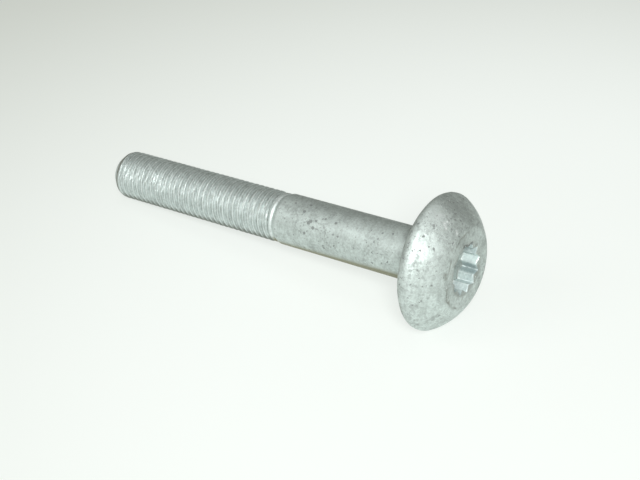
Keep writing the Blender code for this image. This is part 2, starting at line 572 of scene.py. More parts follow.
@dataclass(frozen=True)
class ForgedCrease:
    """Wavy, broken crease that forging leaves in the flat of the head, near its edge.

    Each sway is (size, waves), and the breaks and the width are (mean, size, waves). The
    crease is clear on one side of the flat and keeps the far share of its depth elsewhere.
    """

    radius: float = 8.45
    depth: float = 0.10
    reach: float = 0.8
    level_gap: float = 0.1
    sways: tuple[tuple[float, float], ...] = ((0.8, 1.3), (0.5, 4.0))
    breaks: Triple = (0.55, 2.6, 2.6)
    break_offset: Place = (4.0, 1.0, 2.0)
    width: Triple = (0.24, 0.2, 6.0)
    clear_side: float = -115.0
    far_share: float = 0.12
    fade: float = 0.45
    hollow: float = 1.3
    stain: float = 0.6

    def amount(self, way: Vector, radius: float) -> float:
        """How deep the crease is pressed in at a place.

        Args:
            way: Direction of the place from the axis.
            radius: Its distance from the axis.

        Returns:
            The share of the full depth.
        """
        middle = self.radius
        for size, scale in self.sways:
            middle += size * noise.noise(way * scale)
        base, swing, scale = self.breaks
        kept = clamp(base + swing * noise.noise(way * scale + Vector(self.break_offset)))
        mean, swing, scale = self.width
        width = mean + swing * noise.noise(way * scale)
        side = Mark(0.0, self.clear_side, 1.0, radius=1.0).spot()
        kept *= self.far_share + (1 - self.far_share) * clamp(way.dot(side) / self.fade)
        return kept * bell(radius - middle, width)

    def press(self, skin: Skin, height: float) -> None:
        """Press the crease into the flat.

        Args:
            skin: Skin that holds the flat.
            height: Place of the flat along the axis.
        """
        for vertex in skin.bm.verts:
            across = Vector((0.0, vertex.co.y, vertex.co.z))
            near = abs(across.length - self.radius) < self.reach
            if near and abs(vertex.co.x - height) < self.level_gap:
                amount = self.amount(across.normalized(), across.length)
                vertex.co.x -= self.depth * amount
                # painted shade in the crease; the stain is the coating's own
                vertex[skin.layers[Layer.HOLLOW]] += self.hollow * amount
                vertex[skin.layers[Layer.STAIN]] += self.stain * amount


@dataclass
class MushroomHead:
    """Flat seat, rounded rim, dome and the flat top around the socket."""

    diameter: float = 30.46
    height: float = 8.5
    rim_radius: float = 1.9
    dome_radius: float = 14.3
    flat_diameter: float = 18.0
    flat_rounding: float = 1.8
    flat_spacing: float = 0.12
    flat_rings: int = 16
    # flat_hollow, seat_hollow and the rim's side towards the seat get painted shade
    flat_hollow: float = 0.08
    seat_radii: tuple[float, ...] = (8.0, 9.4, 10.8, 12.2)
    seat_hollow: float = 0.6
    shelter_angle: float = -0.1
    rim_steps: int = 16
    dome_steps: int = 40
    columns: int = 288
    crease: ForgedCrease = ForgedCrease()

    def outline(self) -> list[Section]:
        """The outline of the head in section, rim and dome tangent to each other.

        Returns:
            Corners as (x, radius, wear, hollow), from the seat to the flat top.
        """
        rim_x = self.rim_radius
        rim_r = self.diameter / 2 - self.rim_radius
        edge_x = self.height
        edge_r = self.flat_diameter / 2
        reach = self.dome_radius - self.rim_radius
        span = math.hypot(edge_x - rim_x, edge_r - rim_r)
        bend = math.acos((reach**2 + span**2 - self.dome_radius**2) / (2 * reach * span))
        heading = math.atan2(edge_x - rim_x, edge_r - rim_r) + bend
        dome_x = rim_x + reach * math.sin(heading)
        dome_r = rim_r + reach * math.cos(heading)
        joint = math.atan2(rim_x - dome_x, rim_r - dome_r)
        edge = math.atan2(edge_x - dome_x, edge_r - dome_r)
        corners = [(0.0, radius, 0.0, self.seat_hollow) for radius in self.seat_radii]
        for step in range(self.rim_steps + 1):
            angle = -math.pi / 2 + (joint + math.pi / 2) * step / self.rim_steps
            x = rim_x + self.rim_radius * math.sin(angle)
            # painted shade on the rim's side towards the seat
            sheltered = min(max(self.shelter_angle - angle, 0.0), self.seat_hollow)
            corners.append((x, rim_r + self.rim_radius * math.cos(angle), 0.0, sheltered))
        trim = self.flat_rounding * math.tan((math.pi / 2 - edge) / 2)
        last = edge - trim / self.dome_radius
        for step in range(1, self.dome_steps + 1):
            angle = joint + (last - joint) * step / self.dome_steps
            x = dome_x + self.dome_radius * math.sin(angle)
            corners.append((x, dome_r + self.dome_radius * math.cos(angle), 0.0, 0.0))
        before = Vector(corners[-1][:2])
        corner = Vector((edge_x, edge_r))
        axis = Vector((edge_x, 0.0))
        for point in round_corner(before, corner, axis, self.flat_rounding, steps=6):
            corners.append((point.x, point.y, 0.0, 0.0))
        inner = corners[-1][1]
        for step in range(1, self.flat_rings + 1):
            corners.append((edge_x, inner - self.flat_spacing * step, 0.0, self.flat_hollow))
        return corners

    def build(self, skin: Skin, ring: Chain) -> Chain:
        """Add the head up to the flat that the socket is sunk into.

        Args:
            skin: Skin to add to.
            ring: The ring that the fillet ended on.

        Returns:
            The innermost ring of the flat.
        """
        ring = skin.carry(ring, self.outline(), self.columns, Zone.HEAD)
        self.crease.press(skin, self.height)
        return ring


class Level(Enum):
    """Where a ring of the socket lies."""

    MOUTH = 0
    WALL = 1
    FLOOR = 2


@dataclass
class DriveSocket:
    """Twelve-point socket: three squares at 30 degrees to each other, sunk into the head.

    A mouth ring is (x, radius, hollow), counted from the countersink's edge. The wall's wear
    is given in its grooves and on its ridges, and its hollow, which is painted shade, at the
    mouth and as more at the floor.
    """

    point_diameter: float = 11.6
    depth: float = 4.0
    head_height: float = 8.5
    points: int = 12
    mouth_margin: float = 0.15
    mouth_angle: float = math.radians(75)
    floor_angle: float = math.radians(75)
    point_rounding: float = 0.15
    ridge_rounding: float = 0.14
    edge_break: float = 0.10
    mouth_rings: tuple[Triple, ...] = ((0.0, 0.3, 0.2), (0.0, 0.06, 0.5), (-0.02, -0.03, 0.7))
    mouth_finish: tuple[float, float] = (0.3, 0.6)
    wall_wear: tuple[float, float] = (0.9, 0.7)
    wall_hollow: tuple[float, float] = (0.1, 0.7)
    floor_hollow: float = 0.5
    flat_shares: tuple[float, ...] = (0.2, 0.35, 0.5, 0.65, 0.8)
    wall_shares: tuple[float, ...] = (0.0, 0.08, 0.3, 0.55, 0.8, 1.0)
    floor_shares: tuple[float, ...] = (0.98, 0.85, 0.6, 0.3)
    columns: int = 288

    def star(self) -> list[Section]:
        """The socket's outline, with its corners rounded.

        Returns:
            Corners as (share of a turn, radius, ridge, groove), by rising share. Ridge and
            groove are 1 on the inner and outer corners of the star and 0 on its flats.
        """
        tip = self.point_diameter / 2
        ridge = tip * math.cos(math.radians(45)) / math.cos(math.radians(30))
        count = 2 * self.points
        bends = []
        for index in range(count):
            angle = 2 * math.pi * index / count
            radius = ridge if index % 2 else tip
            bends.append(Vector((radius * math.cos(angle), radius * math.sin(angle))))
        corners = []
        for index, bend in enumerate(bends):
            following = bends[(index + 1) % count]
            inner = index % 2
            rounding = self.ridge_rounding if inner else self.point_rounding
            arc = round_corner(bends[index - 1], bend, following, rounding, steps=4)
            for place, point in enumerate(arc):
                near = 1.0 if place in (1, 2, 3) else 0.5
                corners.append((point, near * inner, near * (1 - inner)))
            for share in self.flat_shares:
                corners.append((bend.lerp(following, share), 0.0, 0.0))
        placed = []
        for point, ridge_mark, groove_mark in corners:
            share = (math.atan2(point.y, point.x) / (2 * math.pi)) % 1.0
            share = 0.0 if share > 1 - 1e-7 else share
            placed.append((share, point.length, ridge_mark, groove_mark))
        return sorted(placed)

    def mouth_x(self, radius: float) -> float:
        """Place along the axis where the countersink has this radius."""
        mouth = self.point_diameter / 2 + self.mouth_margin
        return self.head_height - max(mouth - radius, 0.0) / math.tan(self.mouth_angle)

    def floor_x(self, scale: float) -> float:
        """Place along the axis of the coned floor, at a share of the star's own radius."""
        fall = self.point_diameter / 2 / math.tan(self.floor_angle)
        return self.head_height - self.depth - (1 - scale) * fall

    def star_ring(self, skin: Skin, level: Level, amount: float) -> Chain:
        """Add one ring that follows the star.

        Args:
            skin: Skin to add to.
            level: Where the ring lies.
            amount: Distance out from the wall, share of the wall's height, or share of
                the radius.

        Returns:
            The ring of corners.
        """
        chain = []
        low = self.floor_x(1.0) + self.edge_break
        mouth_wear, mouth_hollow = self.mouth_finish
        for share, radius, ridge, groove in self.star():
            if level is Level.MOUTH:
                radius += amount
                x = self.mouth_x(radius)
                finish = (mouth_wear * ridge, mouth_hollow)
            elif level is Level.WALL:
                high = self.mouth_x(radius) - self.edge_break
                x = high + (low - high) * amount
                wear = max(groove * self.wall_wear[0], ridge * self.wall_wear[1])
                # painted shade, growing towards the floor
                finish = (wear, self.wall_hollow[0] + self.wall_hollow[1] * amount**2)
            else:
                radius *= amount
                x = self.floor_x(amount)
                finish = (0.0, self.floor_hollow)
            chain.append((share, skin.corner(x, radius, share, *finish)))
        return chain + [(1.0, chain[0][1])]

    def build(self, skin: Skin, ring: Chain) -> None:
        """Add the mouth, the walls and the coned floor, which close the skin.

        Args:
            skin: Skin to add to.
            ring: The innermost ring of the head's flat.
        """
        mouth = self.point_diameter / 2 + self.mouth_margin
        lead = []
        for x, step, hollow in self.mouth_rings:
            lead.append((self.head_height + x, mouth + step, 0.0, hollow))
        ring = skin.carry(ring, lead, self.columns, Zone.HEAD)
        rings = [(Level.MOUTH, self.edge_break)]
        rings += [(Level.WALL, share) for share in self.wall_shares]
        rings += [(Level.FLOOR, share) for share in self.floor_shares]
        for level, amount in rings:
            following = self.star_ring(skin, level, amount)
            skin.strip(ring, following, Zone.SOCKET if level is Level.WALL else Zone.HEAD)
            ring = following
        skin.close(ring, self.floor_x(0.0), Zone.HEAD, self.floor_hollow)


@dataclass(frozen=True)
class Relief:
    """Uneven ground that forging, rolling and coating leave in the steel."""

    broad_height: float
    broad_length: float
    fine_height: float
    fine_length: float
    fine_offset: Place = (17.0, 5.0, 9.0)

    def height_at(self, place: Vector) -> float:
        """Height of the relief above or below the true surface.

        Args:
            place: Place on the surface.

        Returns:
            The height in millimetres.
        """
        broad = noise.noise(place / self.broad_length) * self.broad_height
        finer = place / self.fine_length + Vector(self.fine_offset)
        return broad + noise.noise(finer) * self.fine_height


class NodeBench:
    """Adds nodes to one node tree and joins them."""

    def __init__(self, tree: bpy.types.NodeTree) -> None:
        """Work on this node tree."""
        self.tree = tree

    def add(self, kind: str, inputs: dict[Any, Any] | None = None, **settings: Any) -> bpy.types.Node:
        """Add one node.

        Args:
            kind: Blender's name of the node type.
            inputs: Value or source socket for each input, by name or number.
            settings: Other properties of the node.

        Returns:
            The new node.
        """
        node = self.tree.nodes.new(kind)
        row, column = divmod(len(self.tree.nodes), 12)
        node.location = (190 * column, -170 * row)
        for name, value in settings.items():
            setattr(node, name, value)
        for name, value in (inputs or {}).items():
            self.feed(node.inputs[name], value)
        return node

    def feed(self, target: Source, value: Any) -> None:
        """Join a source socket to an input, or set the input's own value.

        Args:
            target: The input.
            value: Value or source socket for it.
        """
        if isinstance(value, Source):
            self.tree.links.new(value, target)
        else:
            target.default_value = value

    def calculate(self, operation: str, first: Any, second: Any, clamped: bool = False) -> Source:
        """Add a Math node.

        Args:
            operation: Blender's name of the operation.
            first: First value or source.
            second: Second value or source.
            clamped: Whether the result is kept between 0 and 1.

        Returns:
            The node's result.
        """
        settings = {"operation": operation, "use_clamp": clamped}
        return self.add("ShaderNodeMath", {0: first, 1: second}, **settings).outputs[0]

    def plus(self, first: Any, second: Any, clamped: bool = False) -> Source:
        """Add two values."""
        return self.calculate("ADD", first, second, clamped)

    def minus(self, first: Any, second: Any, clamped: bool = False) -> Source:
        """Take the second value from the first."""
        return self.calculate("SUBTRACT", first, second, clamped)

    def times(self, first: Any, second: Any, clamped: bool = False) -> Source:
        """Multiply two values."""
        return self.calculate("MULTIPLY", first, second, clamped)

    def larger(self, first: Any, second: Any) -> Source:
        """Keep the larger of two values."""
        return self.calculate("MAXIMUM", first, second)

    def vector(self, operation: str, first: Any, second: Any) -> bpy.types.Node:
        """Add a Vector Math node."""
        return self.add("ShaderNodeVectorMath", {0: first, 1: second}, operation=operation)

    def fade(self, value: Any, low: Any, high: Any, start: Any = 0.0, end: Any = 1.0) -> Source:
        """Turn a value smoothly from start to end while it goes from low to high.

        Args:
            value: Source of the value.
            low: Value at which the turn begins.
            high: Value at which it ends.
            start: Result up to low.
            end: Result from high on.

        Returns:
            The node's result.
        """
        inputs = {"Value": value, "From Min": low, "From Max": high, "To Min": start, "To Max": end}
        return self.add("ShaderNodeMapRange", inputs, interpolation_type="SMOOTHSTEP").outputs[0]

    def blend(self, factor: Any, first: Any, second: Any) -> Source:
        """Mix two colours.

        Args:
            factor: Share of the second colour.
            first: First colour or source.
            second: Second colour or source.

        Returns:
            The mixed colour.
        """
        first = (*first, 1.0) if isinstance(first, tuple) else first
        second = (*second, 1.0) if isinstance(second, tuple) else second
        inputs = {0: factor, MIX_COLOURS[0]: first, MIX_COLOURS[1]: second}
        return self.add("ShaderNodeMix", inputs, data_type="RGBA").outputs[MIX_RESULT]

    def grain(self, place: Any, scale: Any, detail: float, roughness: float = 0.55) -> Source:
        """Add a noise texture.

        Args:
            place: Source of the coordinates.
            scale: Waves to a millimetre.
            detail: Number of finer octaves.
            roughness: Strength of the finer octaves.

        Returns:
            The noise, about 0.5.
        """
        inputs = {"Vector": place, "Scale": scale, "Detail": detail, "Roughness": roughness}
        return self.add("ShaderNodeTexNoise", inputs).outputs[0]

    def cells(self, place: Any, scale: Any, feature: str = "F1") -> Any:
        """Add a cell texture.

        Args:
            place: Source of the coordinates.
            scale: Cells to a millimetre.
            feature: Blender's name of what is measured.

        Returns:
            The node's outputs.
        """
        inputs = {"Vector": place, "Scale": scale}
        return self.add("ShaderNodeTexVoronoi", inputs, feature=feature).outputs


class CoatingEffects:
    """Node groups that the coating's materials share, each built once."""

    def __init__(self) -> None:
        """Build every effect."""
        self.patches = self.build_patches()
        self.blotches = self.build_blotches()
        self.dots = self.build_dots()
        self.scratches = self.build_scratches()
        self.wear = self.build_wear()
        self.ground = self.build_ground()
        self.streaks = self.build_streaks()

    @staticmethod
    def open_group(
        name: str, inputs: dict[str, float], outputs: Sequence[str]
    ) -> tuple[NodeBench, Any, Any]:
        """Make an empty node group with a place input, number inputs and number outputs.

        Args:
            name: Name of the group.
            inputs: Number inputs and their usual values.
            outputs: Names of the outputs.

        Returns:
            The bench for the group, what goes into the group and what comes out of it.
        """
        tree = bpy.data.node_groups.new(name, "ShaderNodeTree")
        number = {"socket_type": "NodeSocketFloat"}
        tree.interface.new_socket("Place", in_out="INPUT", socket_type="NodeSocketVector")
        for title, value in inputs.items():
            tree.interface.new_socket(title, in_out="INPUT", **number).default_value = value
        for title in outputs:
            tree.interface.new_socket(title, in_out="OUTPUT", **number)
        bench = NodeBench(tree)
        given = bench.add("NodeGroupInput").outputs
        return bench, given, bench.add("NodeGroupOutput").inputs

    def build_patches(self) -> bpy.types.NodeTree:
        """Cloudy light and dark patches, where the coating ran thicker or thinner, moved lighter or
        darker by the Shift input, which carries painted light and shade.

        Returns:
            The node group.
        """
        finer_scale = 6.0
        usual_contrast = 3.2
        inputs = {"Scale": 0.35, "Contrast": 1.0, "Shift": 0.0}
        bench, given, result = self.open_group("coating_patches", inputs, ["Shade"])
        cloud = bench.grain(given["Place"], given["Scale"], detail=6.0, roughness=0.62)
        scale = bench.times(given["Scale"], finer_scale)
        finer = bench.grain(given["Place"], scale, detail=3.0, roughness=0.6)
        both = bench.plus(bench.times(cloud, 0.5), bench.times(finer, 0.5))
        centred = bench.minus(both, 0.5)
        spread = bench.times(centred, bench.times(given["Contrast"], usual_contrast))
        middle = bench.plus(given["Shift"], 0.5)
        bench.feed(result["Shade"], bench.plus(spread, middle, clamped=True))
        return bench.tree

    def build_blotches(self) -> bpy.types.NodeTree:
        """Irregular dark specks and smudges, gathered in clusters and where the skin is stained.

        Returns:
            The node group.
        """
        cluster_pull = 0.5
        stain_pull = 0.10
        soft_edge = 0.09
        inputs = {"Scale": 1.4, "Level": 0.62, "Clusters": 0.25, "Stain": 0.0}
        bench, given, result = self.open_group("dark_blotches", inputs, ["Mask"])
        spots = bench.grain(given["Place"], given["Scale"], detail=3.0, roughness=0.6)
        cloud = bench.grain(given["Place"], given["Clusters"], detail=2.0)
        gathered = bench.times(bench.minus(cloud, 0.5), cluster_pull)
        stained = bench.times(given["Stain"], stain_pull)
        score = bench.plus(bench.plus(spots, gathered), stained)
        full = bench.plus(given["Level"], soft_edge)
        bench.feed(result["Mask"], bench.fade(score, given["Level"], full))
        return bench.tree

    def build_dots(self) -> bpy.types.NodeTree:
        """Small dark pits of uneven size and outline, most of them where the skin is stained, and the
        given pits and painted shadow.

        Returns:
            The node group.
        """
        smallest, largest, soft_edge = 0.08, 0.30, 0.2
        stain_pull = 0.45
        shove_scale = 1.3
        raggedness, ragged_middle = 0.4, 0.35
        pit_start, pit_full = 0.18, 0.5
        inputs = {"Scale": 1.5, "Coverage": 0.05, "Stain": 0.0, "Pitted": 0.0}
        bench, given, result = self.open_group("dark_dots", inputs, ["Mask"])
        shove = bench.grain(given["Place"], bench.times(given["Scale"], shove_scale), detail=2.0)
        shifted = bench.vector("ADD", given["Place"], shove).outputs[0]
        cells = bench.cells(shifted, given["Scale"])
        chance = bench.add("ShaderNodeSeparateColor", {"Color": cells["Color"]}).outputs
        share = bench.plus(given["Coverage"], bench.times(given["Stain"], stain_pull))
        chosen = bench.calculate("LESS_THAN", chance[0], share)
        size = bench.fade(chance[1], 0.0, 1.0, smallest, largest)
        spot = bench.fade(cells["Distance"], size, bench.plus(size, soft_edge), 1.0, 0.0)
        ragged = bench.times(bench.minus(ragged_middle, cells["Distance"]), raggedness)
        pitted = bench.fade(bench.plus(given["Pitted"], ragged), pit_start, pit_full)
        scattered = bench.times(spot, chosen)
        bench.feed(result["Mask"], bench.larger(scattered, pitted))
        return bench.tree

    def build_scratches(self) -> bpy.types.NodeTree:
        """Short bright scratches from handling.

        Returns:
            The node group.
        """
        thinnest, thickest = 0.004, 0.02
        shove_scale, patch_scale = 0.7, 0.9
        rarest, amount_pull, soft_edge = 0.78, 0.3, 0.05
        inputs = {"Scale": 0.5, "Amount": 0.3}
        bench, given, result = self.open_group("handling_scratches", inputs, ["Mask"])
        shove = bench.grain(given["Place"], shove_scale, detail=1.0)
        shifted = bench.vector("ADD", given["Place"], shove).outputs[0]
        lines = bench.cells(shifted, given["Scale"], "DISTANCE_TO_EDGE")
        thin = bench.fade(lines["Distance"], thinnest, thickest, 1.0, 0.0)
        where = bench.grain(given["Place"], patch_scale, detail=2.0)
        low = bench.minus(rarest, bench.times(given["Amount"], amount_pull))
        kept = bench.fade(where, low, bench.plus(low, soft_edge))
        bench.feed(result["Mask"], bench.times(thin, kept))
        return bench.tree

    def build_wear(self) -> bpy.types.NodeTree:
        """Polished edges and painted highlights, broken up so that they don't look drawn.

        Returns:
            The node group.
        """
        patch_scale, thin_from, thick_from = 1.5, 0.35, 0.62
        broken_share = 0.8
        inputs = {"Edge": 0.0, "Amount": 0.6}
        bench, given, result = self.open_group("edge_wear", inputs, ["Mask"])
        cloud = bench.grain(given["Place"], patch_scale, detail=4.0, roughness=0.65)
        uneven = bench.fade(cloud, thin_from, thick_from)
        strong = bench.times(given["Edge"], given["Amount"])
        kept = bench.plus(bench.times(uneven, broken_share), 1 - broken_share)
        mask = bench.times(strong, kept)
        bench.feed(result["Mask"], bench.calculate("MINIMUM", mask, 1.0))
        return bench.tree

    def build_ground(self) -> bpy.types.NodeTree:
        """The coating's fine ground: lumps, baked flakes and a height for the bump.

        Returns:
            The node group.
        """
        flake_height = 0.16
        inputs = {"Lumps": 1.4, "Flakes": 9.0}
        bench, given, result = self.open_group("flake_ground", inputs, ["Height", "Shade"])
        lumps = bench.grain(given["Place"], given["Lumps"], detail=4.0, roughness=0.6)
        cells = bench.cells(given["Place"], given["Flakes"])
        flake = bench.add("ShaderNodeSeparateColor", {"Color": cells["Color"]}).outputs[0]
        bench.feed(result["Height"], bench.plus(lumps, bench.times(flake, flake_height)))
        bench.feed(result["Shade"], flake)
        return bench.tree

    def build_streaks(self) -> bpy.types.NodeTree:
        """Short uneven streaks about the axis, from rolling and from the coating's flow.

        Returns:
            The node group.
        """
        darkest, brightest = 0.3, 0.7
        inputs = {"Along": 1.7, "Around": 0.45}
        bench, given, result = self.open_group("rolling_streaks", inputs, ["Shade"])
        along, around = given["Along"], given["Around"]
        scales = bench.add("ShaderNodeCombineXYZ", {0: along, 1: around, 2: around}).outputs[0]
        stretched = bench.vector("MULTIPLY", given["Place"], scales).outputs[0]
        cloud = bench.grain(stretched, 1.0, detail=3.0, roughness=0.65)
        bench.feed(result["Shade"], bench.fade(cloud, darkest, brightest))
        return bench.tree


@dataclass(frozen=True)
class ZincFlakeCoat:
    """Baked zinc-flake coating, silver-grey and matt-metallic, as one zone shows it.

    Scales and clusters count waves or cells to a millimetre, and streak scales go along and
    around the axis. Specks and smudges start at their noise levels. Colour shares, strengths
    and gloss run from 0 to 1, and the bump's height is in millimetres.
    """

    name: str
    pale: Colour = (0.63, 0.715, 0.69)
    deep: Colour = (0.36, 0.41, 0.39)
    # colour of specks and pits, and of the painted shadow at the socket's mouth
    pit_and_shadow: Colour = (0.12, 0.13, 0.125)
    # colour of polish, and of the painted highlights
    polished: Colour = (0.68, 0.74, 0.73)
    # colour of the painted shade in hollows
    hollow_shade: Colour = (0.20, 0.205, 0.175)
    # colour of the painted shade along the bottom
    underside_shade_colour: Colour = (0.24, 0.24, 0.165)
    metallic: float = 0.6
    roughness: float = 0.55
    patch_scale: float = 0.35
    patch_contrast: float = 1.4
    patch_gloss: float = 0.1
    speck_scale: float = 1.8
    speck_clusters: float = 0.22
    speck_level: float = 0.67
    speck_strength: float = 0.7
    smudge_scale: float = 0.75
    smudge_clusters: float = 0.15
    smudge_level: float = 0.58
    smudge_strength: float = 0.4
    dot_scale: float = 1.5
    dot_coverage: float = 0.04
    spot_colour_share: float = 0.75
    spot_roughness: float = 0.25
    spot_dullness: float = 0.4
    spot_depth: float = 0.5
    scratch_scale: float = 0.5
    scratch_amount: float = 0.3
    scratch_depth: float = 0.4
    wear_amount: float = 0.6
    wear_gloss: float = 0.12
    hollow_shade_amount: float = 0.5
    underside_shade_amount: float = 0.0
    streak_scales: tuple[float, float] = (1.7, 0.45)
    streak_amount: float = 0.2
    streak_height: float = 0.8
    flake_scale: float = 9.0
    flake_sparkle: float = 0.15
    lumps: float = 1.4
    bump_height: float = 0.05

    def masks(self, bench: NodeBench, effects: CoatingEffects) -> dict[str, Source]:
        """Place the shared effects in a material, with this zone's own values.

        Args:
            bench: Bench for the material's nodes.
            effects: The shared node groups.

        Returns:
            The masks, shades and heights, by name.
        """
        axes = bench.add("ShaderNodeTexCoord").outputs["Object"]
        scaled = {0: axes, "Scale": 1 / MM}
        place = bench.add("ShaderNodeVectorMath", scaled, operation="SCALE").outputs[0]
        painted = {}
        for layer in Layer:
            node = bench.add("ShaderNodeAttribute", attribute_name=layer.value)
            painted[layer] = node.outputs["Fac"]
        stain = painted[Layer.STAIN]

        def effect(tree: bpy.types.NodeTree, **values: Any) -> Any:
            """Place one shared effect.

            Args:
                tree: The effect's node group.
                values: Values and sources for its inputs, by name.

            Returns:
                The effect's outputs.
            """
            node = bench.add("ShaderNodeGroup", node_tree=tree)
            for title, value in {"Place": place, **values}.items():
                bench.feed(node.inputs[title], value)
            return node.outputs

        along, around = self.streak_scales
        streaks = effect(effects.streaks, Along=along, Around=around)["Shade"]
        streaky = bench.times(bench.minus(streaks, 0.5), self.streak_amount)
        # painted light and shade move the patches lighter or darker
        shift = bench.plus(painted[Layer.PAINTED_LIGHT_AND_SHADE], streaky)
        patches = effect(
            effects.patches, Scale=self.patch_scale, Contrast=self.patch_contrast, Shift=shift
        )["Shade"]
        specks = effect(
            effects.blotches,
            Scale=self.speck_scale,
            Level=self.speck_level,
            Clusters=self.speck_clusters,
            Stain=stain,
        )["Mask"]
        smudges = effect(
            effects.blotches,
            Scale=self.smudge_scale,
            Level=self.smudge_level,
            Clusters=self.smudge_clusters,
            Stain=stain,
        )["Mask"]
        scratches = effect(
            effects.scratches, Scale=self.scratch_scale, Amount=self.scratch_amount
        )["Mask"]
        worn_and_highlight = effect(effects.wear, Edge=painted[Layer.WEAR_AND_HIGHLIGHT], Amount=self.wear_amount)["Mask"]
        ground = effect(effects.ground, Lumps=self.lumps, Flakes=self.flake_scale)
        dots = effect(
            effects.dots,
            Scale=self.dot_scale,
            Coverage=self.dot_coverage,
            Stain=stain,
            Pitted=painted[Layer.PITS_AND_SHADOW],
        )["Mask"]
        specks = bench.larger(bench.times(specks, self.speck_strength), dots)
        return {
            "streaky": streaky,
            "patches": patches,
            "scratches": scratches,
            "ground": ground["Height"],
            "flakes": ground["Shade"],
            "spots": bench.larger(specks, bench.times(smudges, self.smudge_strength)),
            "bright": bench.larger(worn_and_highlight, scratches),
            "hollow_shade_mask": bench.times(painted[Layer.HOLLOW], self.hollow_shade_amount, clamped=True),
            "below": painted[Layer.UNDERSIDE_SHADE],
        }

    def build(self, effects: CoatingEffects) -> bpy.types.Material:
        """Make the material.

        Args:
            effects: The shared node groups.

        Returns:
            The finished material.
        """
        material = bpy.data.materials.new(self.name)
        material.use_nodes = True
        bench = NodeBench(material.node_tree)
        shader = material.node_tree.nodes["Principled BSDF"]
        masks = self.masks(bench, effects)
        patches = masks["patches"]
        spots = masks["spots"]
        bright = masks["bright"]

        colour = bench.blend(patches, self.deep, self.pale)
        colour = bench.blend(bench.times(masks["flakes"], self.flake_sparkle), colour, self.polished)
        # painted shade in hollows, thread roots, creases and the socket
        colour = bench.blend(masks["hollow_shade_mask"], colour, self.hollow_shade)
        # specks and pits, and the painted shadow at the socket's mouth
        colour = bench.blend(bench.times(spots, self.spot_colour_share), colour, self.pit_and_shadow)
        colour = bench.blend(bright, colour, self.polished)
        # painted shade: the dark band along the bottom
        colour = bench.blend(bench.times(masks["below"], self.underside_shade_amount), colour, self.underside_shade_colour)
        bench.feed(shader.inputs["Base Color"], colour)

        mean_roughness = self.roughness + self.patch_gloss / 2
        rough = bench.plus(mean_roughness, bench.times(patches, -self.patch_gloss))
        rough = bench.plus(rough, bench.times(spots, self.spot_roughness))
        rough = bench.minus(rough, bench.times(bright, self.wear_gloss), clamped=True)
        bench.feed(shader.inputs["Roughness"], rough)
        metal = bench.minus(self.metallic, bench.times(spots, self.spot_dullness), clamped=True)
        bench.feed(shader.inputs["Metallic"], metal)

        height = bench.minus(masks["ground"], bench.times(spots, self.spot_depth))
        height = bench.minus(height, bench.times(masks["scratches"], self.scratch_depth))
        height = bench.plus(height, bench.times(masks["streaky"], self.streak_height))
        bump = bench.add("ShaderNodeBump", {"Height": height, "Distance": self.bump_height * MM})
        bench.feed(shader.inputs["Normal"], bump.outputs["Normal"])
        return material


